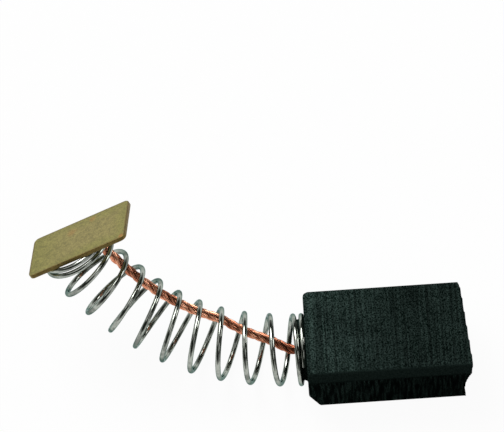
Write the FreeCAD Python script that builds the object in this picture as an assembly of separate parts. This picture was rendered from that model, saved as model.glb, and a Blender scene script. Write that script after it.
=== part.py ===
import FreeCAD, Part
import math
import os

# Carbon brush: a carbon block that carries a bent compression spring, a stranded copper
# shunt that runs up inside the spring, and a brass terminal plate at the far end.
# The block lies on its wide side. X runs along the block towards the contact face, Y across
# it, Z up. The origin is the centre of the block's underside.

Vec = FreeCAD.Vector

# Carbon block
BLOCK_LENGTH = 14.0
BLOCK_WIDTH = 8.0
BLOCK_THICKNESS = 6.3
GUIDE_CHAMFER = 0.62
CONTACT_RADIUS = 13.5
CONTACT_SLANT = 4.8
CONTACT_LEAN = 5.9
HEAD_ROUND = 0.4
CONTACT_CLIP_ALONG = 0.12
CONTACT_CLIP_ACROSS = 0.6
CORNER_CUT_ALONG = 0.9
CORNER_CUT_ACROSS = 1.3
CORNER_CUT_UP = 2.6

# Coil spring
WIRE_DIAMETER = 0.44
SPRING_INSET = 0.05
PITCH_AT_BLOCK = 2.31
PITCH_AT_PLATE = 2.2
COIL_GAP = 0.01
TURNS_FLAT = 0.35
TURNS_CLOSED_AT_BLOCK = 0.1
TURNS_CLOSED_AT_PLATE = 0.4
TURNS_EASE = 0.3
TURNS_OPEN = 9.225
TURNS_TO_LEAN = 0.6
TIP_ANGLE = -49.3
COIL_LAG = 1.53
COIL_LEAN = 3.45
SAMPLES_PER_TURN = 20

# Bend of the spring's centre line: fraction of its length, turn to the side, rise (degrees)
BEND = (
    (0.00, 0.0, 0.0),
    (0.07, 4.1, 0.9),
    (0.16, 6.9, 1.2),
    (0.30, 13.9, 6.6),
    (0.50, 25.3, 17.1),
    (0.70, 34.6, 29.2),
    (0.86, 39.8, 38.4),
    (0.95, 50.2, 47.2),
    (1.00, 50.2, 47.2),
)

# Spigot that the spring's first coils sit on
SPIGOT_FIT = 0.06
SPIGOT_LENGTH = 0.8
SPIGOT_CHAMFER = 0.15

# Copper shunt
STRAND_COUNT = 4
SHUNT_DIAMETER = 0.82
STRAND_GAP = 0.006
LAY_LENGTH = 3.6
SHUNT_SIDE_ANGLE = 60.0
SHUNT_TO_COIL = 0.13
SHUNT_EASE = 0.34
STRAND_END_GAP = 0.04
SHUNT_FIT = 0.01
SHUNT_STEP = 0.16

# Tamped plug that holds the shunt in the block
PLUG_DIAMETER = 1.3
PLUG_DEPTH = 4.0

# Terminal plate
PLATE_LENGTH = 9.3
PLATE_WIDTH = 5.3
PLATE_THICKNESS = 0.36
PLATE_CORNER = 0.5
PLATE_SHIFT = 0.83
PLATE_SPIN = 36.7
SEAT_GAP = 0.01

# Weld bead round the shunt's end
BEAD_DIAMETER = 1.5
BEAD_HEIGHT = 0.42
BEAD_SHOULDER_UP = 0.8
BEAD_SHOULDER_OUT = 0.12
BEAD_TO_COIL = 0.05

# Values that follow from the ones above
END_X = -BLOCK_LENGTH / 2
CONTACT_X = BLOCK_LENGTH / 2
WIRE_RADIUS = WIRE_DIAMETER / 2
SPRING_OUTER_RADIUS = BLOCK_THICKNESS / 2 - SPRING_INSET
COIL_RADIUS = SPRING_OUTER_RADIUS - WIRE_RADIUS
SPRING_INNER_RADIUS = COIL_RADIUS - WIRE_RADIUS
SPIGOT_RADIUS = SPRING_INNER_RADIUS - SPIGOT_FIT
SPRING_CENTRE = Vec(END_X, 0, BLOCK_THICKNESS / 2)
CLOSED_PITCH = WIRE_DIAMETER + COIL_GAP
CLIMB_PITCH = CLOSED_PITCH / (1 - TURNS_FLAT)
TURNS_CLOSED = TURNS_CLOSED_AT_BLOCK + TURNS_CLOSED_AT_PLATE
TURNS = TURNS_OPEN + TURNS_CLOSED + 2 * (1 + TURNS_EASE)
SHUNT_RADIUS = SHUNT_DIAMETER / 2
SHUNT_OFFSET = SPRING_INNER_RADIUS - SHUNT_RADIUS - SHUNT_TO_COIL
SHUNT_END_OFFSET = SPRING_INNER_RADIUS - BEAD_DIAMETER / 2 - BEAD_TO_COIL
STRAND_RADIUS = SHUNT_RADIUS / (1 + 1 / math.sin(math.pi / STRAND_COUNT))
LAY_ANGLE = math.atan(2 * math.pi * (SHUNT_RADIUS - STRAND_RADIUS) / LAY_LENGTH)
STRAND_END = STRAND_END_GAP + STRAND_RADIUS * math.sin(LAY_ANGLE)


def direction(side, rise):
    """Unit vector along the centre line for a side turn and a rise, in degrees."""
    h, e = math.radians(side), math.radians(rise)
    return Vec(-math.cos(h) * math.cos(e), math.sin(h) * math.cos(e), math.sin(e))


def side_and_up(side, rise):
    """The two directions square to the centre line: level to the side, and up."""
    h, e = math.radians(side), math.radians(rise)
    level = Vec(math.sin(h), math.cos(h), 0)
    up = Vec(math.cos(h) * math.sin(e), -math.sin(h) * math.sin(e), math.cos(e))
    return level, up


def reach(turn):
    """Distance along the centre line that the wire has covered after so many turns."""
    distance = WIRE_RADIUS + SEAT_GAP
    stages = (
        (TURNS_FLAT, 0, 0),
        (1 - TURNS_FLAT, CLIMB_PITCH, CLIMB_PITCH),
        (TURNS_CLOSED_AT_BLOCK, CLOSED_PITCH, CLOSED_PITCH),
        (TURNS_EASE, CLOSED_PITCH, PITCH_AT_BLOCK),
        (TURNS_OPEN, PITCH_AT_BLOCK, PITCH_AT_PLATE),
        (TURNS_EASE, PITCH_AT_PLATE, CLOSED_PITCH),
        (TURNS_CLOSED_AT_PLATE, CLOSED_PITCH, CLOSED_PITCH),
        (1 - TURNS_FLAT, CLIMB_PITCH, CLIMB_PITCH),
        (TURNS_FLAT, 0, 0),
    )
    for turns, first, last in stages:
        used = min(max(turn, 0), turns)
        distance += first * used + (last - first) * used * used / (2 * turns)
        turn -= turns
    return distance


SPRING_LENGTH = reach(TURNS) + WIRE_RADIUS + SEAT_GAP


def bend_at(distance):
    """Side turn and rise of the centre line at a distance from the block's end face."""
    f = min(max(distance / SPRING_LENGTH, 0), 1)
    for (f0, side0, rise0), (f1, side1, rise1) in zip(BEND, BEND[1:]):
        if f <= f1:
            k = (f - f0) / (f1 - f0)
            return side0 + k * (side1 - side0), rise0 + k * (rise1 - rise0)
    return BEND[-1][1:]


def walk_centre_line(step=0.05):
    """Points of the spring's centre line, one per step, from the block's end face on."""
    points = [SPRING_CENTRE]
    count = math.ceil(SPRING_LENGTH / step)
    for k in range(count):
        middle = bend_at((k + 0.5) * SPRING_LENGTH / count)
        points.append(points[-1] + direction(*middle) * (SPRING_LENGTH / count))
    return points


CENTRE_LINE = walk_centre_line()


def centre_at(distance):
    """Point of the spring's centre line at a distance from the block's end face."""
    if distance <= 0:
        return SPRING_CENTRE + Vec(-distance, 0, 0)
    place = min(distance / SPRING_LENGTH, 1) * (len(CENTRE_LINE) - 1)
    k = min(int(place), len(CENTRE_LINE) - 2)
    return CENTRE_LINE[k] + (CENTRE_LINE[k + 1] - CENTRE_LINE[k]) * (place - k)


def sweep_round(points, radius):
    """Solid round bar that follows a smooth curve through the points."""
    curve = Part.BSplineCurve()
    curve.interpolate(points)
    path = Part.Wire([curve.toShape()])
    start = curve.tangent(curve.FirstParameter)[0]
    section = Part.Wire([Part.Edge(Part.Circle(points[0], start, radius))])
    return path.makePipeShell([section], True, True)


# Carbon block

def contact_cutter():
    """Round bar the size of the commutator, laid so that it hollows the contact face."""
    corner = Vec(CONTACT_X, -BLOCK_WIDTH / 2, BLOCK_THICKNESS)
    lean = math.radians(CONTACT_LEAN)
    chord = BLOCK_THICKNESS / math.cos(lean)
    middle = corner - Vec(math.sin(lean), 0, math.cos(lean)) * (chord / 2)
    depth = math.sqrt(CONTACT_RADIUS ** 2 - (chord / 2) ** 2)
    centre = middle + Vec(math.cos(lean), 0, -math.sin(lean)) * depth
    slant = math.radians(CONTACT_SLANT)
    along = Vec(-math.sin(slant), math.cos(slant), 0)
    return Part.makeCylinder(CONTACT_RADIUS, 4 * BLOCK_WIDTH, centre - along * BLOCK_WIDTH, along)


def corner_cutter():
    """Wedge that takes off the underside corner at the spring end."""
    corner = Vec(END_X, -BLOCK_WIDTH / 2, 0)
    along = corner + Vec(CORNER_CUT_ALONG, 0, 0)
    across = corner + Vec(0, CORNER_CUT_ACROSS, 0)
    above = corner + Vec(0, 0, CORNER_CUT_UP)
    corners = (
        (corner, across, along),
        (corner, along, above),
        (corner, above, across),
        (along, across, above),
    )
    faces = [Part.Face(Part.makePolygon([p, q, r, p])) for p, q, r in corners]
    return Part.makeSolid(Part.makeShell(faces))


def carbon_block():
    """Block with its guide chamfer, hollow contact face, cut corners, spigot and shunt hole."""
    half = BLOCK_WIDTH / 2
    outline = [
        Vec(END_X, -half, 0),
        Vec(END_X, half, 0),
        Vec(END_X, half, BLOCK_THICKNESS),
        Vec(END_X, -half + GUIDE_CHAMFER, BLOCK_THICKNESS),
        Vec(END_X, -half, BLOCK_THICKNESS - GUIDE_CHAMFER),
    ]
    section = Part.Face(Part.makePolygon(outline + [outline[0]]))
    body = section.extrude(Vec(BLOCK_LENGTH, 0, 0))
    head_edges = [
        e for e in body.Edges
        if e.BoundBox.XMax < END_X + 1e-6 and e.BoundBox.YMin > half - 1e-6
    ]
    body = body.makeFillet(HEAD_ROUND, head_edges)
    body = body.cut(contact_cutter())
    body = body.cut(corner_cutter())
    far_edge = [
        e for e in body.Edges
        if e.BoundBox.XMin > 0 and e.BoundBox.YMin > half - 1e-3
    ]
    body = body.makeChamfer(CONTACT_CLIP_ALONG, CONTACT_CLIP_ACROSS, far_edge)
    spigot = Part.makeCylinder(SPIGOT_RADIUS, SPIGOT_LENGTH, SPRING_CENTRE, Vec(-1, 0, 0))
    rim = [e for e in spigot.Edges if e.BoundBox.XMax < END_X - SPIGOT_LENGTH + 1e-6]
    body = body.fuse(spigot.makeChamfer(SPIGOT_CHAMFER, rim))
    hole_length = PLUG_DEPTH + SPIGOT_LENGTH
    mouth = SPRING_CENTRE + Vec(-SPIGOT_LENGTH, 0, 0)
    hole = Part.makeCylinder(PLUG_DIAMETER / 2, hole_length, mouth, Vec(1, 0, 0))
    return body.cut(hole).removeSplitter()


# Tamped plug

def tamping_plug():
    """Sleeve of tamped powder between the shunt and the hole in the block."""
    mouth = SPRING_CENTRE + Vec(-SPIGOT_LENGTH, 0, 0)
    length = PLUG_DEPTH + SPIGOT_LENGTH
    outer = Part.makeCylinder(PLUG_DIAMETER / 2, length, mouth, Vec(1, 0, 0))
    bore = Part.makeCylinder(SHUNT_RADIUS + SHUNT_FIT, length, mouth, Vec(1, 0, 0))
    return outer.cut(bore)


# Coil spring

def coil_angles(turn):
    """Side turn and rise that a coil is square to: a closed coil is square to its seat."""
    from_block = turn - 1 - TURNS_CLOSED_AT_BLOCK
    from_plate = TURNS - turn - 1 - TURNS_CLOSED_AT_PLATE
    seat = BEND[0] if from_block < from_plate else BEND[-1]
    freed = min(max(min(from_block, from_plate) / TURNS_TO_LEAN, 0), 1)
    side, rise = bend_at(reach(turn) - COIL_LAG)
    return seat[1] + freed * (side + COIL_LEAN - seat[1]), seat[2] + freed * (rise - seat[2])


def spring_line():
    """Centre line of the wire: closed coils, open coils on the bent axis, closed coils."""
    points = []
    count = round(TURNS * SAMPLES_PER_TURN)
    for k in range(count + 1):
        turn = k * TURNS / count
        level, up = side_and_up(*coil_angles(turn))
        angle = math.radians(TIP_ANGLE + 360 * turn)
        offset = up * math.cos(angle) + level * math.sin(angle)
        points.append(centre_at(reach(turn)) + offset * COIL_RADIUS)
    return points


def compression_spring():
    """Round wire wound on the bent centre line."""
    return sweep_round(spring_line(), WIRE_RADIUS)


# Terminal plate

def plate_frame():
    """Seat point on the plate's inner face, and its outward, long and short directions."""
    side, rise = BEND[-1][1:]
    outward = direction(side, rise)
    level, up = side_and_up(side, rise)
    spin = math.radians(PLATE_SPIN)
    long_way = level * math.cos(spin) + up * math.sin(spin)
    short_way = outward.cross(long_way)
    return centre_at(SPRING_LENGTH), outward, long_way, short_way


def terminal_plate():
    """Flat plate with rounded corners, square to the spring's end."""
    seat, outward, long_way, short_way = plate_frame()
    middle = seat + long_way * PLATE_SHIFT
    corners = [
        middle + long_way * (a * PLATE_LENGTH / 2) + short_way * (b * PLATE_WIDTH / 2)
        for a, b in ((-1, -1), (1, -1), (1, 1), (-1, 1))
    ]
    blank = Part.Face(Part.makePolygon(corners + [corners[0]])).extrude(outward * PLATE_THICKNESS)
    upright = [
        e for e in blank.Edges
        if abs(abs((e.Vertexes[1].Point - e.Vertexes[0].Point).normalize().dot(outward)) - 1) < 1e-6
    ]
    return blank.makeFillet(PLATE_CORNER, upright)


# Copper shunt

def shunt_line():
    """Route of the shunt: straight out of the plug, along the inside of the bend, to the bead."""
    seat, outward = plate_frame()[:2]
    deepest = PLUG_DEPTH - STRAND_END
    points = [SPRING_CENTRE + Vec(x, 0, 0) for x in (deepest, deepest / 2, 0, -SPIGOT_LENGTH)]
    side_angle = math.radians(SHUNT_SIDE_ANGLE)
    for k in range(2, 14):
        f = k / 15
        distance = f * SPRING_LENGTH
        offset = SHUNT_OFFSET * min(f / SHUNT_EASE, 1)
        level, up = side_and_up(*bend_at(distance))
        out = up * math.cos(side_angle) + level * math.sin(side_angle)
        points.append(centre_at(distance) + out * offset)
    level, up = side_and_up(*BEND[-1][1:])
    out = up * math.cos(side_angle) + level * math.sin(side_angle)
    end = seat + out * SHUNT_END_OFFSET
    points += [end - outward * (BEAD_HEIGHT + SHUNT_RADIUS), end - outward * STRAND_END]
    return points, end


def strand_lines():
    """Centre lines of the strands, laid round the shunt's route like a rope."""
    points, _ = shunt_line()
    curve = Part.BSplineCurve()
    curve.interpolate(points)
    length = curve.length()
    count = math.ceil(length / SHUNT_STEP)
    lines = [[] for _ in range(STRAND_COUNT)]
    across = Vec(0, 0, 1)
    for k in range(count + 1):
        u = curve.parameterAtDistance(k * length / count, curve.FirstParameter)
        along = curve.tangent(u)[0]
        across = (across - along * across.dot(along)).normalize()
        other = along.cross(across)
        for n in range(STRAND_COUNT):
            angle = 2 * math.pi * (k * length / count / LAY_LENGTH + n / STRAND_COUNT)
            offset = across * math.cos(angle) + other * math.sin(angle)
            lines[n].append(curve.value(u) + offset * (SHUNT_RADIUS - STRAND_RADIUS))
    return lines


def weld_bead():
    """Low ring of weld that ties the shunt's end to the plate's inner face."""
    _, outward, long_way, _ = plate_frame()
    _, end = shunt_line()
    inner = SHUNT_RADIUS + SHUNT_FIT
    outer = BEAD_DIAMETER / 2
    base = end + long_way * inner
    foot = end + long_way * outer
    top = end + long_way * inner - outward * BEAD_HEIGHT
    shoulder = end + long_way * ((inner + outer) / 2 + BEAD_SHOULDER_OUT)
    shoulder -= outward * (BEAD_HEIGHT * BEAD_SHOULDER_UP)
    section = Part.Wire([
        Part.makeLine(base, foot),
        Part.Arc(foot, shoulder, top).toShape(),
        Part.makeLine(top, base),
    ])
    return Part.Face(section).revolve(end, outward, 360)


def main():
    os.makedirs("parts", exist_ok=True)
    pieces = {
        "carbon_block": carbon_block(),
        "tamping_plug": tamping_plug(),
        "compression_spring": compression_spring(),
        "terminal_plate": terminal_plate(),
        "weld_bead": weld_bead(),
    }
    for n, line in enumerate(strand_lines(), 1):
        pieces[f"shunt_strand_{n}"] = sweep_round(line, STRAND_RADIUS - STRAND_GAP)
    for name, shape in pieces.items():
        if len(shape.Solids) != 1 or not shape.isValid():
            raise ValueError(f"{name} is not one sound solid")
        shape.Solids[0].exportStep(f"parts/{name}.step")
        print(name, round(shape.Volume, 3))


if __name__ == "__main__":
    main()
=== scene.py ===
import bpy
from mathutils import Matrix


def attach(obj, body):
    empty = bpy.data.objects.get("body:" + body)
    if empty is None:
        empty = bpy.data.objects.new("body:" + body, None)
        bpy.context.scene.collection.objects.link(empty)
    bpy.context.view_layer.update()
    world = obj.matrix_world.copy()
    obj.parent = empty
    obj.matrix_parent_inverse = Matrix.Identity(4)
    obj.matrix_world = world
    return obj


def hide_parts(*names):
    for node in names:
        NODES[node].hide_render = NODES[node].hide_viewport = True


bl_info = {
    "name": "Carbon brush",
    "version": (1, 0, 0),
    "blender": (4, 5, 0),
    "location": "3D View > Sidebar > Carbon brush",
    "description": "Makes a carbon brush with its bent spring, twisted shunt and terminal plate",
    "category": "Object",
}

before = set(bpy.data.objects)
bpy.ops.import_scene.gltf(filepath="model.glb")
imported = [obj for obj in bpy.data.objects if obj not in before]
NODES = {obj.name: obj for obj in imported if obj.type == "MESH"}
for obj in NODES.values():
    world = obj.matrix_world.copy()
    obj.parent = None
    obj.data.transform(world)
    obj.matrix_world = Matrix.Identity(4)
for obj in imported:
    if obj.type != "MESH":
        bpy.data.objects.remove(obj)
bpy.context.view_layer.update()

import math

import bmesh
import bpy
from bpy.props import FloatProperty, FloatVectorProperty, IntProperty, PointerProperty
from mathutils import Matrix, Vector
from mathutils.geometry import interpolate_bezier
from mathutils.kdtree import KDTree

MM = 0.001

# Metres from the camera to the block, as in the photograph
CAMERA_DISTANCE = 0.341


# Sizes and colours that a user would change

class BrushSizes(bpy.types.PropertyGroup):
    """Sizes of the brush, in millimetres"""
    edge_wear: FloatProperty(
        name="Edge wear", description="How far the carbon block's edges are rubbed round",
        default=0.05, min=0.0, max=0.4)
    voxel: FloatProperty(
        name="Block grain size", description="Spacing of the points on the carbon block's surface",
        default=0.105, min=0.08, max=0.5)
    wire_diameter: FloatProperty(
        name="Wire diameter", description="Diameter of the spring's round wire",
        default=0.44, min=0.1, max=1.0)
    wire_sides: IntProperty(
        name="Wire sides", description="Flats round the spring's wire", default=20, min=8, max=48)
    copper_wire: FloatProperty(
        name="Copper wire", description="Diameter of one fine wire in the shunt",
        default=0.14, min=0.03, max=0.3)
    wires_per_strand: IntProperty(
        name="Wires per strand", description="Fine wires that each strand shows round its core",
        default=6, min=3, max=19)
    plate_edge: FloatProperty(
        name="Plate edge", description="Rounding of the stamped plate's edges",
        default=0.05, min=0.01, max=0.15)


class BrushColours(bpy.types.PropertyGroup):
    """Colours of the brush's materials"""
    carbon: FloatVectorProperty(
        name="Carbon", description="Pressed carbon, between its grains", subtype="COLOR", size=3,
        default=(0.0015, 0.005, 0.0036), min=0.0, max=1.0)
    carbon_grain: FloatVectorProperty(
        name="Graphite grain", description="Paler graphite grains in the carbon", subtype="COLOR", size=3,
        default=(0.027, 0.043, 0.038), min=0.0, max=1.0)
    nickel: FloatVectorProperty(
        name="Spring wire", description="Bright drawn spring wire", subtype="COLOR", size=3,
        default=(0.425, 0.45, 0.405), min=0.0, max=1.0)
    copper: FloatVectorProperty(
        name="Copper", description="Bright copper of the shunt", subtype="COLOR", size=3,
        default=(0.97, 0.47, 0.3), min=0.0, max=1.0)
    copper_dull: FloatVectorProperty(
        name="Dull copper", description="Handled, browner copper", subtype="COLOR", size=3,
        default=(0.44, 0.15, 0.08), min=0.0, max=1.0)
    brass: FloatVectorProperty(
        name="Brass", description="Rolled brass of the terminal plate", subtype="COLOR", size=3,
        default=(0.312, 0.267, 0.096), min=0.0, max=1.0)
    brass_green: FloatVectorProperty(
        name="Green brass", description="Greener bloom near the plate's rim", subtype="COLOR", size=3,
        default=(0.27, 0.252, 0.07), min=0.0, max=1.0)
    # Also paints the orange highlight at one corner of the plate
    heat_and_highlight: FloatVectorProperty(
        name="Heat marks", description="Orange marks where the plate was heated", subtype="COLOR", size=3,
        default=(0.55, 0.25, 0.07), min=0.0, max=1.0)
    brass_edge: FloatVectorProperty(
        name="Brass edge", description="Sheared edge of the brass plate", subtype="COLOR", size=3,
        default=(0.17, 0.115, 0.035), min=0.0, max=1.0)


class StudioSettings(bpy.types.PropertyGroup):
    """Camera and lights"""
    azimuth: FloatProperty(
        name="Azimuth", description="Turn of the camera round the brush", subtype="ANGLE",
        default=math.radians(2.307))
    elevation: FloatProperty(
        name="Elevation", description="Height of the camera above the table", subtype="ANGLE",
        default=math.radians(68.503))
    roll: FloatProperty(
        name="Roll", description="Roll of the camera", subtype="ANGLE", default=math.radians(-5.995))
    distance: FloatProperty(
        name="Distance", description="Distance from the camera to the block",
        subtype="DISTANCE", unit="LENGTH", default=CAMERA_DISTANCE)
    lens: FloatProperty(
        name="Lens", description="Focal length of the camera", default=285.714, min=20.0, max=600.0)
    key_power: FloatProperty(
        name="Main lamp", description="Power of the large soft lamp overhead, in watts",
        default=3.8, min=0.0)
    side_power: FloatProperty(
        name="Side lamp", description="Power of the small lamp beside the contact face, in watts",
        default=0.6, min=0.0)


# Where the pieces lie: the same route and sizes as the solids, in millimetres, degrees and turns

BLOCK_LENGTH = 14.0
BLOCK_WIDTH = 8.0
BLOCK_THICKNESS = 6.3
GUIDE_CHAMFER = 0.62
SPRING_CENTRE = Vector((-BLOCK_LENGTH / 2, 0, BLOCK_THICKNESS / 2))
SPRING_INSET = 0.05
WIRE_RADIUS = 0.22
COIL_RADIUS = BLOCK_THICKNESS / 2 - SPRING_INSET - WIRE_RADIUS
SPRING_INNER_RADIUS = COIL_RADIUS - WIRE_RADIUS
PITCH_AT_BLOCK = 2.31
PITCH_AT_PLATE = 2.2
COIL_GAP = 0.01
CLOSED_PITCH = 2 * WIRE_RADIUS + COIL_GAP
TURNS_FLAT = 0.35
TURNS_CLOSED_AT_BLOCK = 0.1
TURNS_CLOSED_AT_PLATE = 0.4
TURNS_EASE = 0.3
TURNS_OPEN = 9.225
TURNS_TO_LEAN = 0.6
TURNS = TURNS_OPEN + TURNS_CLOSED_AT_BLOCK + TURNS_CLOSED_AT_PLATE + 2 * (1 + TURNS_EASE)
CLIMB_PITCH = CLOSED_PITCH / (1 - TURNS_FLAT)
SEAT_GAP = 0.01
TIP_ANGLE = -49.3
COIL_LAG = 1.53
COIL_LEAN = 3.45
SAMPLES_PER_TURN = 64

# Bend of the spring's centre line: fraction of its length, then turn to the side and rise, in degrees
BEND = (
    (0.00, 0.0, 0.0),
    (0.07, 4.1, 0.9),
    (0.16, 6.9, 1.2),
    (0.30, 13.9, 6.6),
    (0.50, 25.3, 17.1),
    (0.70, 34.6, 29.2),
    (0.86, 39.8, 38.4),
    (0.95, 50.2, 47.2),
    (1.00, 50.2, 47.2),
)

STRAND_COUNT = 4
SHUNT_RADIUS = 0.41
STRAND_RADIUS = SHUNT_RADIUS / (1 + 1 / math.sin(math.pi / STRAND_COUNT))
LAY_LENGTH = 3.6
LAY_ANGLE = math.atan(2 * math.pi * (SHUNT_RADIUS - STRAND_RADIUS) / LAY_LENGTH)
SHUNT_SIDE_ANGLE = math.radians(60)
SHUNT_TO_COIL = 0.13
SHUNT_OFFSET = SPRING_INNER_RADIUS - SHUNT_RADIUS - SHUNT_TO_COIL
SHUNT_EASE = 0.34
SHUNT_STEP = 0.06
ROUTE_PARTS = 15
BEZIER_POINTS = 60
STRAND_END_GAP = 0.04
STRAND_END = STRAND_END_GAP + STRAND_RADIUS * math.sin(LAY_ANGLE)
WIRE_LAY_LENGTH = 4.2
WIRE_UNEVENNESS = 0.05
COPPER_WIRE_SIDES = 8
PLUG_DEPTH = 4.0
SPIGOT_LENGTH = 0.8
BEAD_DIAMETER = 1.5
BEAD_HEIGHT = 0.42
BEAD_TO_COIL = 0.05
SHUNT_END_OFFSET = SPRING_INNER_RADIUS - BEAD_DIAMETER / 2 - BEAD_TO_COIL
PLATE_LENGTH = 9.3
PLATE_WIDTH = 5.3
PLATE_THICKNESS = 0.36
PLATE_CORNER = 0.5
PLATE_SHIFT = 0.83
PLATE_SPIN = math.radians(36.7)
PLATE_CORNER_POINTS = 7
PLATE_BEVEL_STEPS = 3

# Faces of the plate larger than this, in square millimetres, are shaded flat
FLAT_AREA = 2.0

# Corners of the block's solid that are nearer than this are joined, in millimetres
WELD_DISTANCE = 1e-5

# Rubbing passes over the block for an edge wear of one point spacing
RUB_PASSES = 4

# Step between the rows of noise that the fine wires read
NOISE_ROW_STEP = 7.3

# Orange marks on the plate, the weld's heat marks and last a painted highlight at a corner: place along
# it, place across it, radius, strength
HEAT_MARKS_AND_CORNER_HIGHLIGHT = (
    (1.2, 2.0, 0.5, 0.4),
    (-0.8, 1.3, 0.7, 0.3),
    (4.3, -2.4, 0.35, 0.8),
)

# Soft windows of the studio: where they are, where their light starts and is full, brightness
WINDOWS = (
    ((-0.5, 0.28, 0.82), 0.8, 0.88, 0.9),
    ((0.43, -0.87, 0.25), 0.94, 0.975, 0.5),
    ((0.3, -0.55, 0.78), 0.96, 0.982, 1.0),
)

# Half the table's width, in metres
TABLE_HALF_SIZE = 1.2

# Lamps of the studio, in metres: where they are and how wide
MAIN_LAMP = ((-0.25, 0.38, 0.55), 0.4)
SIDE_LAMP = ((0.55, 0.1, 0.3), 0.2)

# Where the block's underside centre lies from the camera: right, up and back, in millimetres
ORIGIN_IN_VIEW = Vector((11.6665, -11.9537, -340.897))


def direction(side, rise):
    """Unit vector along the centre line for a side turn and a rise, in degrees."""
    h, e = math.radians(side), math.radians(rise)
    return Vector((-math.cos(h) * math.cos(e), math.sin(h) * math.cos(e), math.sin(e)))


def side_and_up(side, rise):
    """The two directions square to the centre line: level to the side, and up."""
    h, e = math.radians(side), math.radians(rise)
    level = Vector((math.sin(h), math.cos(h), 0))
    up = Vector((math.cos(h) * math.sin(e), -math.sin(h) * math.sin(e), math.cos(e)))
    return level, up


def reach(turn):
    """Distance along the centre line that the wire has covered after so many turns."""
    distance = WIRE_RADIUS + SEAT_GAP
    stages = (
        (TURNS_FLAT, 0, 0),
        (1 - TURNS_FLAT, CLIMB_PITCH, CLIMB_PITCH),
        (TURNS_CLOSED_AT_BLOCK, CLOSED_PITCH, CLOSED_PITCH),
        (TURNS_EASE, CLOSED_PITCH, PITCH_AT_BLOCK),
        (TURNS_OPEN, PITCH_AT_BLOCK, PITCH_AT_PLATE),
        (TURNS_EASE, PITCH_AT_PLATE, CLOSED_PITCH),
        (TURNS_CLOSED_AT_PLATE, CLOSED_PITCH, CLOSED_PITCH),
        (1 - TURNS_FLAT, CLIMB_PITCH, CLIMB_PITCH),
        (TURNS_FLAT, 0, 0),
    )
    for turns, first, last in stages:
        used = min(max(turn, 0), turns)
        distance += first * used + (last - first) * used * used / (2 * turns)
        turn -= turns
    return distance


SPRING_LENGTH = reach(TURNS) + WIRE_RADIUS + SEAT_GAP


def bend_at(distance):
    """Side turn and rise of the centre line at a distance from the block's end face."""
    f = min(max(distance / SPRING_LENGTH, 0), 1)
    for (f0, side0, rise0), (f1, side1, rise1) in zip(BEND, BEND[1:]):
        if f <= f1:
            k = (f - f0) / (f1 - f0)
            return side0 + k * (side1 - side0), rise0 + k * (rise1 - rise0)
    return BEND[-1][1:]


def walk_centre_line(step=0.05):
    """Points of the spring's centre line, one per step, from the block's end face on."""
    points = [SPRING_CENTRE]
    count = math.ceil(SPRING_LENGTH / step)
    for k in range(count):
        middle = bend_at((k + 0.5) * SPRING_LENGTH / count)
        points.append(points[-1] + direction(*middle) * (SPRING_LENGTH / count))
    return points


CENTRE_LINE = walk_centre_line()


def centre_at(distance):
    """Point of the spring's centre line at a distance from the block's end face."""
    place = min(max(distance / SPRING_LENGTH, 0), 1) * (len(CENTRE_LINE) - 1)
    k = min(int(place), len(CENTRE_LINE) - 2)
    return CENTRE_LINE[k].lerp(CENTRE_LINE[k + 1], place - k)


def coil_angles(turn):
    """Side turn and rise that a coil is square to: a closed coil is square to its seat."""
    from_block = turn - 1 - TURNS_CLOSED_AT_BLOCK
    from_plate = TURNS - turn - 1 - TURNS_CLOSED_AT_PLATE
    _, seat_side, seat_rise = BEND[0] if from_block < from_plate else BEND[-1]
    freed = min(max(min(from_block, from_plate) / TURNS_TO_LEAN, 0), 1)
    side, rise = bend_at(reach(turn) - COIL_LAG)
    return seat_side + freed * (side + COIL_LEAN - seat_side), seat_rise + freed * (rise - seat_rise)


def plate_frame():
    """Seat point on the plate's inner face, and its outward, long and short directions."""
    outward = direction(*BEND[-1][1:])
    level, up = side_and_up(*BEND[-1][1:])
    long_way = level * math.cos(PLATE_SPIN) + up * math.sin(PLATE_SPIN)
    return centre_at(SPRING_LENGTH), outward, long_way, outward.cross(long_way)


def shunt_route():
    """Points that the shunt runs through, from the bottom of its hole to the plate."""
    seat, outward = plate_frame()[:2]
    deepest = PLUG_DEPTH - STRAND_END
    points = [SPRING_CENTRE + Vector((x, 0, 0)) for x in (deepest, deepest / 2, 0, -SPIGOT_LENGTH)]
    for k in range(2, ROUTE_PARTS - 1):
        f = k / ROUTE_PARTS
        level, up = side_and_up(*bend_at(f * SPRING_LENGTH))
        out = up * math.cos(SHUNT_SIDE_ANGLE) + level * math.sin(SHUNT_SIDE_ANGLE)
        points.append(centre_at(f * SPRING_LENGTH) + out * (SHUNT_OFFSET * min(f / SHUNT_EASE, 1)))
    level, up = side_and_up(*BEND[-1][1:])
    out = up * math.cos(SHUNT_SIDE_ANGLE) + level * math.sin(SHUNT_SIDE_ANGLE)
    end = seat + out * SHUNT_END_OFFSET
    return points + [end - outward * (BEAD_HEIGHT + SHUNT_RADIUS), end - outward * STRAND_END]


def smooth_through(points, step):
    """Evenly spaced points of a smooth curve through the given ones."""
    tangents = []
    for k, point in enumerate(points):
        before, after = points[max(k - 1, 0)], points[min(k + 1, len(points) - 1)]
        run_in, run_out = (point - before).length, (after - point).length
        if run_in and run_out:
            slope = (point - before) / run_in * run_out + (after - point) / run_out * run_in
            tangents.append(slope / (run_in + run_out))
        else:
            tangents.append((after - before).normalized())
    dense = []
    for k in range(len(points) - 1):
        start, end = points[k], points[k + 1]
        run = (end - start).length / 3
        handles = (start, start + tangents[k] * run, end - tangents[k + 1] * run, end)
        dense += interpolate_bezier(*handles, BEZIER_POINTS)[:-1]
    dense.append(points[-1])
    even, travelled, target = [dense[0]], 0.0, step
    for a, b in zip(dense, dense[1:]):
        run = (b - a).length
        while travelled + run >= target:
            even.append(a.lerp(b, (target - travelled) / run))
            target += step
        travelled += run
    even[-1] = dense[-1]
    return even


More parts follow.
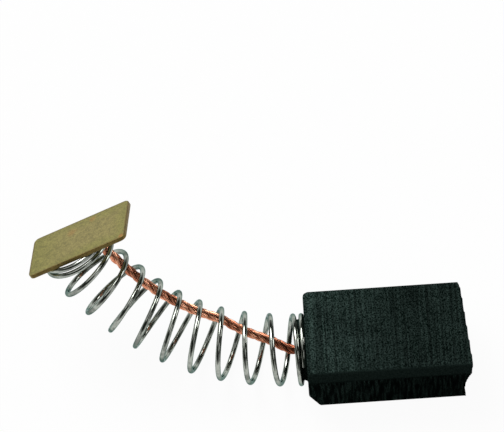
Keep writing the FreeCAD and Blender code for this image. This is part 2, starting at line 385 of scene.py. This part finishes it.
def spring_line():
    """Centre line of the spring's wire: closed coils, open coils on the bent axis, closed coils."""
    points = []
    count = round(TURNS * SAMPLES_PER_TURN)
    for k in range(count + 1):
        turn = k * TURNS / count
        level, up = side_and_up(*coil_angles(turn))
        angle = math.radians(TIP_ANGLE + 360 * turn)
        offset = up * math.cos(angle) + level * math.sin(angle)
        points.append(centre_at(reach(turn)) + offset * COIL_RADIUS)
    return points


def strand_lines(line):
    """Centre lines of the strands, laid round the shunt's middle line like a rope."""
    strands = [[] for _ in range(STRAND_COUNT)]
    across = Vector((0, 0, 1))
    for k, point in enumerate(line):
        tangent = (line[min(k + 1, len(line) - 1)] - line[max(k - 1, 0)]).normalized()
        across = (across - tangent * across.dot(tangent)).normalized()
        other = tangent.cross(across)
        for n in range(STRAND_COUNT):
            angle = math.tau * (k * SHUNT_STEP / LAY_LENGTH + n / STRAND_COUNT)
            offset = across * math.cos(angle) + other * math.sin(angle)
            strands[n].append(point + offset * (SHUNT_RADIUS - STRAND_RADIUS))
    return strands


# Shader and geometry nodes

class Value:
    """A node's output that sums and products can be written with."""

    def __init__(self, graph, socket):
        self.graph = graph
        self.socket = socket

    def other(self, name):
        """Another output of the same node."""
        return Value(self.graph, self.socket.node.outputs[name])

    def _maths(self, operation, a, b):
        return self.graph.add("ShaderNodeMath", {"operation": operation}, {0: a, 1: b})

    def __add__(self, other):
        return self._maths("ADD", self, other)

    __radd__ = __add__

    def __sub__(self, other):
        return self._maths("SUBTRACT", self, other)

    def __rsub__(self, other):
        return self._maths("SUBTRACT", other, self)

    def __mul__(self, other):
        return self._maths("MULTIPLY", self, other)

    __rmul__ = __mul__

    def __truediv__(self, other):
        return self._maths("DIVIDE", self, other)

    def __pow__(self, other):
        return self._maths("POWER", self, other)


class Graph:
    """Builds the nodes of one tree."""

    def __init__(self, tree):
        self.tree = tree

    def add(self, kind, settings=None, sockets=None, output=0):
        """A node of a kind with its settings and its sockets' values or links; returns an output."""
        node = self.tree.nodes.new(kind)
        for name, value in (settings or {}).items():
            setattr(node, name, value)
        for name, value in (sockets or {}).items():
            if isinstance(value, Value):
                self.tree.links.new(value.socket, node.inputs[name])
            else:
                node.inputs[name].default_value = value
        return Value(self, node.outputs[output]) if node.outputs else node

    def size(self, value):
        """A value without its sign."""
        return self.add("ShaderNodeMath", {"operation": "ABSOLUTE"}, {0: value})

    def largest(self, a, b):
        """The larger of two values."""
        return self.add("ShaderNodeMath", {"operation": "MAXIMUM"}, {0: a, 1: b})

    def ramp(self, value, *stops):
        """Value taken from one level to another between two places."""
        (low, start), (high, end) = stops
        return self.add(
            "ShaderNodeMapRange", {"interpolation_type": "SMOOTHSTEP"},
            {0: value, 1: low, 2: high, 3: start, 4: end})

    def mix(self, amount, a, b):
        """Two colours mixed by an amount; 6 and 7 are the node's colour sockets."""
        return self.add("ShaderNodeMix", {"data_type": "RGBA"}, {0: amount, 6: a, 7: b}, 2)

    def scaled(self, vector, factor):
        """A colour or vector times a factor."""
        return self.add("ShaderNodeVectorMath", {"operation": "SCALE"}, {0: vector, "Scale": factor})

    def noise(self, place, scale, detail, roughness):
        """Noise at a place, its scale per millimetre."""
        sockets = {"Vector": place, "Scale": scale, "Detail": detail, "Roughness": roughness}
        return self.add("ShaderNodeTexNoise", {}, sockets)

    def bump(self, height, strength, depth):
        """Normal for a height that stands a depth, in millimetres, above the surface."""
        return self.add(
            "ShaderNodeBump", {}, {"Strength": strength, "Distance": depth * MM, "Height": height})

    def millimetres(self, turn=(0, 0, 0), stretch=(1, 1, 1)):
        """Object coordinates in millimetres, turned and stretched."""
        place = self.add("ShaderNodeTexCoord", {}, {}, "Object")
        return self.add(
            "ShaderNodeMapping", {"vector_type": "POINT"},
            {"Vector": place, "Rotation": turn, "Scale": [s / MM for s in stretch]})


def new_material(name, constants):
    """Material with its shader's constant sockets set; returns it, its graph and its shader."""
    material = bpy.data.materials.new(name)
    material.use_nodes = True
    material.node_tree.nodes.clear()
    graph = Graph(material.node_tree)
    shader = graph.add("ShaderNodeBsdfPrincipled", {}, constants)
    graph.add("ShaderNodeOutputMaterial", {}, {"Surface": shader})
    return material, graph, shader.socket.node


def connect(graph, shader, **sockets):
    """Links values to the shader's sockets; an underscore stands for a space in their names."""
    for name, value in sockets.items():
        graph.tree.links.new(value.socket, shader.inputs[name.replace("_", " ")])


def rgba(colour, factor=1.0):
    """Opaque colour, made darker by a factor."""
    return (*(c * factor for c in colour), 1.0)


def carbon_material():
    """Pressed carbon: dark, with pale graphite grains and sawn streaks, painted lighter towards the
    spring's end of the block, plain on its guide chamfer.
    """
    colours = bpy.context.scene.brush_colours
    material, g, shader = new_material("pressed_carbon", {"Metallic": 0.0, "Specular IOR Level": 0.0})
    place = g.millimetres()
    x = g.add("ShaderNodeSeparateXYZ", {}, {"Vector": place})
    y = x.other("Y")
    chamfer_plane = BLOCK_THICKNESS + BLOCK_WIDTH / 2 - GUIDE_CHAMFER
    chamfer = g.ramp(x.other("Z") - y, (chamfer_plane - 0.12, 0.0), (chamfer_plane - 0.04, 1.0))
    chamfer_side = g.ramp(y, (-BLOCK_WIDTH / 2, 1.0), (-BLOCK_WIDTH / 2 + 0.3, 0.0))
    grain = g.noise(place, 9.0, 1.0, 0.5)
    fine = g.noise(g.millimetres(turn=(0.7, 0.4, 1.1), stretch=(1.3, 0.6, 1.0)), 12.0, 1.0, 0.5)
    streak = g.noise(g.millimetres(stretch=(4.5, 0.06, 0.35)), 1.0, 3.0, 0.65)
    cloud = g.noise(place, 0.45, 2.0, 0.5)
    level = g.ramp(grain * 0.55 + fine * 0.45, (0.39, 0.0), (0.61, 1.0))
    level = level * (1.0 - chamfer * 0.6) + chamfer * 0.25
    bright = g.ramp(streak * 0.75 + cloud * 0.25, (0.36, 0.55), (0.64, 1.45))
    # Painted light and shade: the carbon is brighter towards the spring's end of the block and darker
    # towards the contact face
    bright = bright * g.ramp(x, (-7.5, 1.42), (2.0, 0.72))
    bright = bright * (chamfer_side * g.ramp(streak, (0.42, -0.5), (0.62, 0.55)) + 1.0)
    bright = bright * (1.0 - chamfer) + chamfer * 0.8
    grained = g.mix(level, rgba(colours.carbon), rgba(colours.carbon_grain))
    bump = g.bump(grain * 0.6 + fine * 0.3 + streak * 0.1, 0.6, 0.05)
    connect(g, shader, Base_Color=g.scaled(grained, bright), Roughness=0.72 - level * 0.12, Normal=bump)
    return material


def spring_material():
    """Drawn spring wire: bright, with fine draw lines and faint duller patches."""
    colours = bpy.context.scene.brush_colours
    constants = {"Metallic": 1.0, "Specular Tint": (0.26, 0.36, 0.34, 1)}
    material, g, shader = new_material("spring_wire", constants)
    place = g.millimetres()
    dull = g.noise(place, 0.9, 3.0, 0.6)
    fine = g.noise(place, 9.0, 2.0, 0.6)
    patched = g.ramp(dull, (0.42, 0.0), (0.62, 1.0))
    colour = g.mix(patched, rgba(colours.nickel), rgba(colours.nickel, 0.5))
    bump = g.bump(fine, 0.25, 0.01)
    connect(g, shader, Base_Color=colour, Roughness=0.07 + dull * 0.06 + fine * 0.05, Normal=bump)
    return material


def copper_material():
    """Twisted copper: bright on its wires' crowns, with painted shade between the strands, browner near
    the block.
    """
    colours = bpy.context.scene.brush_colours
    constants = {"Metallic": 1.0, "Specular Tint": (0.5, 0.2, 0.12, 1)}
    material, g, shader = new_material("copper_wire", constants)
    place = g.millimetres()
    patch = g.noise(place, 0.7, 0.0, 0.5)
    fine = g.noise(place, 9.0, 2.0, 0.6)
    crown = g.add("ShaderNodeAttribute", {"attribute_name": "crown"}, {}, "Fac")
    x = g.add("ShaderNodeSeparateXYZ", {}, {"Vector": place})
    dull = g.largest(g.ramp(patch, (0.45, 0.0), (0.62, 0.7)), g.ramp(x, (-12.0, 0.0), (-8.0, 1.0)))
    # Painted shade: near the shunt's middle line, between the strands, the dull copper is darkened to a
    # third
    gap_shade = g.ramp(crown, (0.45, 0.85), (0.8, 0.0))
    colour = g.mix(dull, rgba(colours.copper), rgba(colours.copper_dull))
    colour = g.mix(gap_shade, colour, rgba(colours.copper_dull, 0.35))
    bump = g.bump(fine, 0.1, 0.01)
    connect(g, shader, Base_Color=colour, Roughness=0.15 + dull * 0.1, Normal=bump)
    return material


def brass_material():
    """Rolled brass sheet: matt olive gold with fine mottling, a browner edge, orange marks where the weld
    heated it and a painted orange highlight at one corner.
    """
    colours = bpy.context.scene.brush_colours
    material, g, shader = new_material("brass_sheet", {"Metallic": 0.9})
    place = g.millimetres()
    along, across = plate_coordinates(g, place)
    mottle = g.noise(place, 2.6, 4.0, 0.62)
    fine = g.noise(place, 8.0, 2.0, 0.6)
    cloud = g.noise(place, 0.5, 2.0, 0.5)
    rim = g.largest(g.size(along) - PLATE_LENGTH / 2, g.size(across) - PLATE_WIDTH / 2)
    rim = rim + mottle * 0.3 - 0.15
    near_rim = g.ramp(rim + cloud * 1.6 - 0.8, (-1.6, 0.0), (-0.2, 0.75))
    # Greener towards the rim and towards one end of the plate
    tinge = g.largest(near_rim, g.ramp(along, (-4.6, 0.9), (0.0, 0.0)))
    sheet = g.mix(tinge, rgba(colours.brass), rgba(colours.brass_green))
    # Orange spots: the weld's heat marks, and a painted highlight at one corner
    for u, v, radius, strength in HEAT_MARKS_AND_CORNER_HIGHLIGHT:
        spot = ((along - u) ** 2.0 + (across - v) ** 2.0) ** 0.5 + mottle * 0.6 - 0.3
        sheet = g.mix(g.ramp(spot, (0.0, strength), (radius, 0.0)), sheet, rgba(colours.heat_and_highlight))
    sheet = g.mix(g.ramp(rim, (-0.2, 0.0), (-0.04, 0.9)), sheet, rgba(colours.brass_edge))
    speckle = g.ramp(mottle * 0.4 + fine * 0.5 + cloud * 0.1, (0.37, 0.73), (0.63, 1.25))
    bump = g.bump(mottle * 0.5 + fine * 0.5, 0.4, 0.02)
    connect(g, shader, Base_Color=g.scaled(sheet, speckle), Roughness=0.36 + fine * 0.2, Normal=bump)
    return material


def plate_coordinates(g, place):
    """Millimetres along and across the plate from its middle, as two values."""
    seat, _, long_way, short_way = plate_frame()
    middle = seat + long_way * PLATE_SHIFT
    from_middle = g.add("ShaderNodeVectorMath", {"operation": "SUBTRACT"}, {0: place, 1: middle})
    return [
        g.add("ShaderNodeVectorMath", {"operation": "DOT_PRODUCT"}, {0: from_middle, 1: way}, "Value")
        for way in (long_way, short_way)]


def powder_material():
    """Tamped copper and graphite powder."""
    colours = bpy.context.scene.brush_colours
    material, g, shader = new_material("tamped_powder", {"Metallic": 0.35})
    place = g.millimetres()
    grain = g.noise(place, 12.0, 3.0, 0.7)
    coppery = g.ramp(grain, (0.42, 0.0), (0.62, 1.0))
    colour = g.mix(coppery, rgba(colours.carbon_grain), rgba(colours.copper_dull))
    bump = g.bump(grain, 0.7, 0.04)
    connect(g, shader, Base_Color=colour, Roughness=0.55 + grain * 0.2, Normal=bump)
    return material


# Making meshes

def paint(piece, material):
    """Gives a piece one material on all its faces."""
    piece.data.materials.clear()
    piece.data.materials.append(material)


def new_object(name, data):
    """Object in the scene for a mesh or curve."""
    piece = bpy.data.objects.new(name, data)
    bpy.context.scene.collection.objects.link(piece)
    return piece


def settle(piece, name):
    """Plain mesh of a piece with its modifiers applied, scaled from millimetres, in its place."""
    graph = bpy.context.evaluated_depsgraph_get()
    mesh = bpy.data.meshes.new_from_object(piece.evaluated_get(graph), depsgraph=graph)
    mesh.transform(Matrix.Diagonal((MM, MM, MM, 1)))
    mesh.name = name
    settled = new_object(name, mesh)
    bpy.data.objects.remove(piece)
    return settled


def hand_over(piece, slot, *nodes):
    """Rides the piece on the brush and hides the solids it stands for; its slot is not used."""
    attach(piece, "root")
    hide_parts(*nodes)


def line_object(name, points):
    """Curve object through points, in millimetres."""
    curve = bpy.data.curves.new(name, "CURVE")
    curve.dimensions = "3D"
    spline = curve.splines.new("POLY")
    spline.points.add(len(points) - 1)
    for point, place in zip(spline.points, points):
        point.co = (*place, 1.0)
    return new_object(name, curve)


def wire_tree():
    """Geometry nodes that lay a number of round wires in a twist along a curve."""
    tree = bpy.data.node_groups.new("laid_wires", "GeometryNodeTree")
    sockets = (
        ("Curve", "NodeSocketGeometry", None),
        ("Wires", "NodeSocketInt", 1),
        ("Lay length", "NodeSocketFloat", 1.0),
        ("Offset", "NodeSocketFloat", 0.0),
        ("Unevenness", "NodeSocketFloat", 0.0),
        ("Wire radius", "NodeSocketFloat", 0.1),
        ("Sides", "NodeSocketInt", 12),
        ("Material", "NodeSocketMaterial", None),
    )
    for name, kind, value in sockets:
        socket = tree.interface.new_socket(name, in_out="INPUT", socket_type=kind)
        if value is not None:
            socket.default_value = value
    tree.interface.new_socket("Mesh", in_out="OUTPUT", socket_type="NodeSocketGeometry")
    g = Graph(tree)
    source = g.add("NodeGroupInput", output="Curve")
    copies = g.add("GeometryNodeDuplicateElements", {"domain": "SPLINE"},
                   {"Geometry": source, "Amount": source.other("Wires")})
    share = copies.other("Duplicate Index") / source.other("Wires")
    length = g.add("GeometryNodeSplineParameter", output="Length")
    row = copies.other("Duplicate Index") * NOISE_ROW_STEP
    spot = g.add("ShaderNodeCombineXYZ", {}, {"X": length, "Y": row})
    wobble = g.add(
        "ShaderNodeTexNoise", {"noise_dimensions": "2D"}, {"Vector": spot, "Scale": 0.5, "Detail": 1.0})
    uneven = (wobble - 0.5) * source.other("Unevenness")
    angle = (length / source.other("Lay length") + share + uneven) * math.tau
    normal = g.add("GeometryNodeInputNormal")
    tangent = g.add("GeometryNodeInputTangent")
    binormal = g.add("ShaderNodeVectorMath", {"operation": "CROSS_PRODUCT"}, {0: tangent, 1: normal})
    cosine = g.add("ShaderNodeMath", {"operation": "COSINE"}, {0: angle})
    sine = g.add("ShaderNodeMath", {"operation": "SINE"}, {0: angle})
    sideways = g.scaled(normal, cosine * source.other("Offset"))
    upwards = g.scaled(binormal, sine * source.other("Offset"))
    offset = g.add("ShaderNodeVectorMath", {"operation": "ADD"}, {0: sideways, 1: upwards})
    laid = g.add("GeometryNodeSetPosition", {}, {"Geometry": copies, "Offset": offset})
    ring = g.add("GeometryNodeCurvePrimitiveCircle", {"mode": "RADIUS"},
                 {"Resolution": source.other("Sides"), "Radius": source.other("Wire radius")})
    wires = g.add("GeometryNodeCurveToMesh", {}, {"Curve": laid, "Profile Curve": ring, "Fill Caps": True})
    smooth = g.add("GeometryNodeSetShadeSmooth", {}, {"Geometry": wires})
    whole = g.add("GeometryNodeRealizeInstances", {}, {"Geometry": smooth})
    painted = g.add(
        "GeometryNodeSetMaterial", {}, {"Geometry": whole, "Material": source.other("Material")})
    g.add("NodeGroupOutput", {}, {"Mesh": painted})
    return tree


def lay_wires(name, points, tree, **inputs):
    """Plain mesh of wires laid along points by the tree."""
    line = line_object(name + "_line", points)
    modifier = line.modifiers.new("wires", "NODES")
    modifier.node_group = tree
    for item in tree.interface.items_tree:
        word = item.name.replace(" ", "_")
        if item.item_type == "SOCKET" and item.in_out == "INPUT" and word in inputs:
            modifier[item.identifier] = inputs[word]
    return settle(line, name)


def mark_crowns(piece, line):
    """Stores how far from the shunt's middle line each point lies, as a share of its radius."""
    tree = KDTree(len(line))
    for k, point in enumerate(line):
        tree.insert(point, k)
    tree.balance()
    crown = piece.data.attributes.new("crown", "FLOAT", "POINT")
    for vertex, mark in zip(piece.data.vertices, crown.data):
        mark.value = tree.find(vertex.co / MM)[2] / SHUNT_RADIUS


def plate_sheet():
    """Sharp-edged mesh of the plate with its rounded corners, in millimetres."""
    seat, outward, long_way, short_way = plate_frame()
    middle = seat + long_way * PLATE_SHIFT
    form = bmesh.new()
    outline = []
    for a, b, start in ((1, 1, 0), (-1, 1, 90), (-1, -1, 180), (1, -1, 270)):
        for k in range(PLATE_CORNER_POINTS):
            angle = math.radians(start + 90 * k / (PLATE_CORNER_POINTS - 1))
            u = a * (PLATE_LENGTH / 2 - PLATE_CORNER) + math.cos(angle) * PLATE_CORNER
            v = b * (PLATE_WIDTH / 2 - PLATE_CORNER) + math.sin(angle) * PLATE_CORNER
            outline.append(form.verts.new(middle + long_way * u + short_way * v))
    face = form.faces.new(outline)
    grown = bmesh.ops.extrude_face_region(form, geom=[face])
    top = [v for v in grown["geom"] if isinstance(v, bmesh.types.BMVert)]
    bmesh.ops.translate(form, verts=top, vec=outward * PLATE_THICKNESS)
    bmesh.ops.recalc_face_normals(form, faces=form.faces)
    mesh = bpy.data.meshes.new("plate_form")
    form.to_mesh(mesh)
    form.free()
    return mesh


# Pieces

class CARBON_BRUSH_OT_block(bpy.types.Operator):
    """Make the carbon block with rubbed edges"""
    bl_idname = "carbon_brush.block"
    bl_label = "Carbon block"

    def execute(self, context):
        sizes = context.scene.brush_sizes
        mesh = NODES["carbon_block"].data.copy()
        mesh.transform(Matrix.Diagonal((1 / MM, 1 / MM, 1 / MM, 1)))
        form = bmesh.new()
        form.from_mesh(mesh)
        bmesh.ops.remove_doubles(form, verts=form.verts, dist=WELD_DISTANCE)
        form.to_mesh(mesh)
        form.free()
        piece = new_object("block_form", mesh)
        remesh = piece.modifiers.new("points", "REMESH")
        remesh.mode = "VOXEL"
        remesh.voxel_size = sizes.voxel
        remesh.use_smooth_shade = True
        rub = piece.modifiers.new("rub", "SMOOTH")
        rub.factor = 0.5
        rub.iterations = max(1, round((sizes.edge_wear / sizes.voxel) * RUB_PASSES))
        block = settle(piece, "carbon_block_worn")
        paint(block, carbon_material())
        hand_over(block, "carbon", "carbon_block")
        return {"FINISHED"}


class CARBON_BRUSH_OT_spring(bpy.types.Operator):
    """Wind the round wire of the bent spring"""
    bl_idname = "carbon_brush.spring"
    bl_label = "Spring"

    def execute(self, context):
        sizes = context.scene.brush_sizes
        spring = lay_wires(
            "spring_wire", spring_line(), wire_tree(), Wires=1, Wire_radius=sizes.wire_diameter / 2,
            Sides=sizes.wire_sides, Material=spring_material())
        hand_over(spring, "spring_steel", "compression_spring")
        return {"FINISHED"}


class CARBON_BRUSH_OT_shunt(bpy.types.Operator):
    """Lay the fine copper wires of the shunt's strands"""
    bl_idname = "carbon_brush.shunt"
    bl_label = "Copper shunt"

    def execute(self, context):
        sizes = context.scene.brush_sizes
        tree = wire_tree()
        copper = copper_material()
        line = smooth_through(shunt_route(), SHUNT_STEP)
        wire = sizes.copper_wire / 2
        for n, points in enumerate(strand_lines(line), 1):
            piece = lay_wires(
                f"copper_strand_{n}", points, tree, Wires=sizes.wires_per_strand,
                Lay_length=WIRE_LAY_LENGTH, Offset=STRAND_RADIUS - wire, Unevenness=WIRE_UNEVENNESS,
                Wire_radius=wire, Sides=COPPER_WIRE_SIDES, Material=copper)
            mark_crowns(piece, line)
            hand_over(piece, "copper", f"shunt_strand_{n}")
        return {"FINISHED"}


class CARBON_BRUSH_OT_plate(bpy.types.Operator):
    """Stamp the brass terminal plate"""
    bl_idname = "carbon_brush.plate"
    bl_label = "Terminal plate"

    def execute(self, context):
        sizes = context.scene.brush_sizes
        piece = new_object("plate_form", plate_sheet())
        bevel = piece.modifiers.new("edge", "BEVEL")
        bevel.width = sizes.plate_edge
        bevel.segments = PLATE_BEVEL_STEPS
        bevel.limit_method = "ANGLE"
        bevel.angle_limit = math.radians(60)
        plate = settle(piece, "brass_plate")
        for polygon in plate.data.polygons:
            polygon.use_smooth = polygon.area < FLAT_AREA * MM ** 2
        paint(plate, brass_material())
        hand_over(plate, "brass", "terminal_plate")
        return {"FINISHED"}


class CARBON_BRUSH_OT_joints(bpy.types.Operator):
    """Finish the tamped plug and the weld bead"""
    bl_idname = "carbon_brush.joints"
    bl_label = "Plug and weld"

    def execute(self, context):
        powder = powder_material()
        paint(NODES["tamping_plug"], powder)
        paint(NODES["weld_bead"], powder)
        return {"FINISHED"}


# Studio

def seen_ground(g):
    """One for rays that show the ground itself: from the camera, or off metal."""
    path = g.add("ShaderNodeLightPath", output="Is Camera Ray")
    return g.largest(g.largest(path, path.other("Is Glossy Ray")), path.other("Is Transmission Ray"))


def floor_material():
    """White table that shows as the white ground and keeps a faint shadow."""
    material = bpy.data.materials.new("table_white")
    material.use_nodes = True
    material.node_tree.nodes.clear()
    g = Graph(material.node_tree)
    seen = seen_ground(g)
    shade = g.mix(seen, (0.08, 0.08, 0.08, 1), (0.9, 0.9, 0.9, 1))
    matt = g.add("ShaderNodeBsdfDiffuse", {}, {"Color": shade})
    glow = g.add("ShaderNodeEmission", {}, {"Color": (1, 1, 1, 1), "Strength": 1.0})
    mixed = g.add("ShaderNodeMixShader", {}, {0: seen * 0.95, 1: matt, 2: glow})
    g.add("ShaderNodeOutputMaterial", {}, {"Surface": mixed})
    return material


def studio_world():
    """White to the camera; to the brush, a dim room, pale near the table, with three soft windows."""
    world = bpy.data.worlds.new("studio")
    world.use_nodes = True
    world.node_tree.nodes.clear()
    g = Graph(world.node_tree)
    way = g.add("ShaderNodeTexCoord", output="Generated")
    height = g.add("ShaderNodeSeparateXYZ", {}, {"Vector": way}, "Z")
    above = g.ramp(height, (0.12, 0.0), (0.34, 1.0))
    room = g.mix(above, (0.33, 0.34, 0.33, 1), (0.025, 0.03, 0.025, 1))
    for toward, edge, full, level in WINDOWS:
        near = g.add("ShaderNodeVectorMath", {"operation": "DOT_PRODUCT"}, {0: way, 1: toward}, "Value")
        room = g.mix(g.ramp(near, (edge, 0.0), (full, 1.0)), room, (level, level, level, 1))
    path = g.add("ShaderNodeLightPath", output="Is Camera Ray")
    colour = g.mix(path, room, (1, 1, 1, 1))
    g.add("ShaderNodeOutputWorld", {}, {"Surface": g.add("ShaderNodeBackground", {}, {"Color": colour})})
    return world


def add_lamp(name, place, size, power):
    """Square soft lamp that points at the brush."""
    lamp = bpy.data.lights.new(name, "AREA")
    lamp.shape = "SQUARE"
    lamp.size = size
    lamp.energy = power
    holder = new_object(name, lamp)
    holder.location = place
    holder.rotation_euler = (-Vector(place)).to_track_quat("-Z", "Y").to_euler()
    holder.visible_camera = False


class CARBON_BRUSH_OT_studio(bpy.types.Operator):
    """Set the table, the lamps and the camera"""
    bl_idname = "carbon_brush.studio"
    bl_label = "Studio"

    def execute(self, context):
        scene = context.scene
        settings = scene.brush_studio
        scene.view_settings.view_transform = "Standard"
        form = bmesh.new()
        bmesh.ops.create_grid(form, x_segments=1, y_segments=1, size=TABLE_HALF_SIZE)
        mesh = bpy.data.meshes.new("table")
        form.to_mesh(mesh)
        form.free()
        table = new_object("table", mesh)
        paint(table, floor_material())
        scene.world = studio_world()
        add_lamp("lamp_main", *MAIN_LAMP, settings.key_power)
        add_lamp("lamp_side", *SIDE_LAMP, settings.side_power)
        a, e, r = settings.azimuth, settings.elevation, settings.roll
        back = Vector((math.sin(a) * math.cos(e), -math.cos(a) * math.cos(e), math.sin(e)))
        right = Vector((math.cos(a), math.sin(a), 0))
        up = back.cross(right)
        right, up = right * math.cos(r) + up * math.sin(r), up * math.cos(r) - right * math.sin(r)
        camera = bpy.data.cameras.new("camera")
        camera.lens = settings.lens
        camera.sensor_width = 36
        camera.clip_start = 0.01
        holder = new_object("camera", camera)
        turn = Matrix((right, up, back)).transposed()
        aim = ORIGIN_IN_VIEW * MM * (settings.distance / CAMERA_DISTANCE)
        holder.matrix_world = Matrix.Translation(-(turn @ aim)) @ turn.to_4x4()
        scene.camera = holder
        return {"FINISHED"}


class CARBON_BRUSH_PT_panel(bpy.types.Panel):
    """Lists the pieces, sizes and colours of the brush"""
    bl_idname = "CARBON_BRUSH_PT_panel"
    bl_label = "Carbon brush"
    bl_space_type = "VIEW_3D"
    bl_region_type = "UI"
    bl_category = "Carbon brush"

    def draw(self, context):
        for operator in OPERATORS:
            self.layout.operator(operator.bl_idname)
        for group in (context.scene.brush_sizes, context.scene.brush_colours, context.scene.brush_studio):
            box = self.layout.box()
            for name in group.bl_rna.properties.keys():
                if name not in {"rna_type", "name"}:
                    box.prop(group, name)


OPERATORS = (
    CARBON_BRUSH_OT_block, CARBON_BRUSH_OT_spring, CARBON_BRUSH_OT_shunt,
    CARBON_BRUSH_OT_plate, CARBON_BRUSH_OT_joints, CARBON_BRUSH_OT_studio)
CLASSES = (BrushSizes, BrushColours, StudioSettings) + OPERATORS + (CARBON_BRUSH_PT_panel,)


def register():
    """Adds the classes and the scene's settings."""
    for item in CLASSES:
        bpy.utils.register_class(item)
    bpy.types.Scene.brush_sizes = PointerProperty(type=BrushSizes)
    bpy.types.Scene.brush_colours = PointerProperty(type=BrushColours)
    bpy.types.Scene.brush_studio = PointerProperty(type=StudioSettings)


def unregister():
    """Takes the settings and the classes away again."""
    del bpy.types.Scene.brush_studio
    del bpy.types.Scene.brush_colours
    del bpy.types.Scene.brush_sizes
    for item in reversed(CLASSES):
        bpy.utils.unregister_class(item)


def main():
    """Makes the brush and its studio."""
    register()
    bpy.ops.carbon_brush.block()
    bpy.ops.carbon_brush.spring()
    bpy.ops.carbon_brush.shunt()
    bpy.ops.carbon_brush.plate()
    bpy.ops.carbon_brush.joints()
    bpy.ops.carbon_brush.studio()


if __name__ == "__main__":
    main()
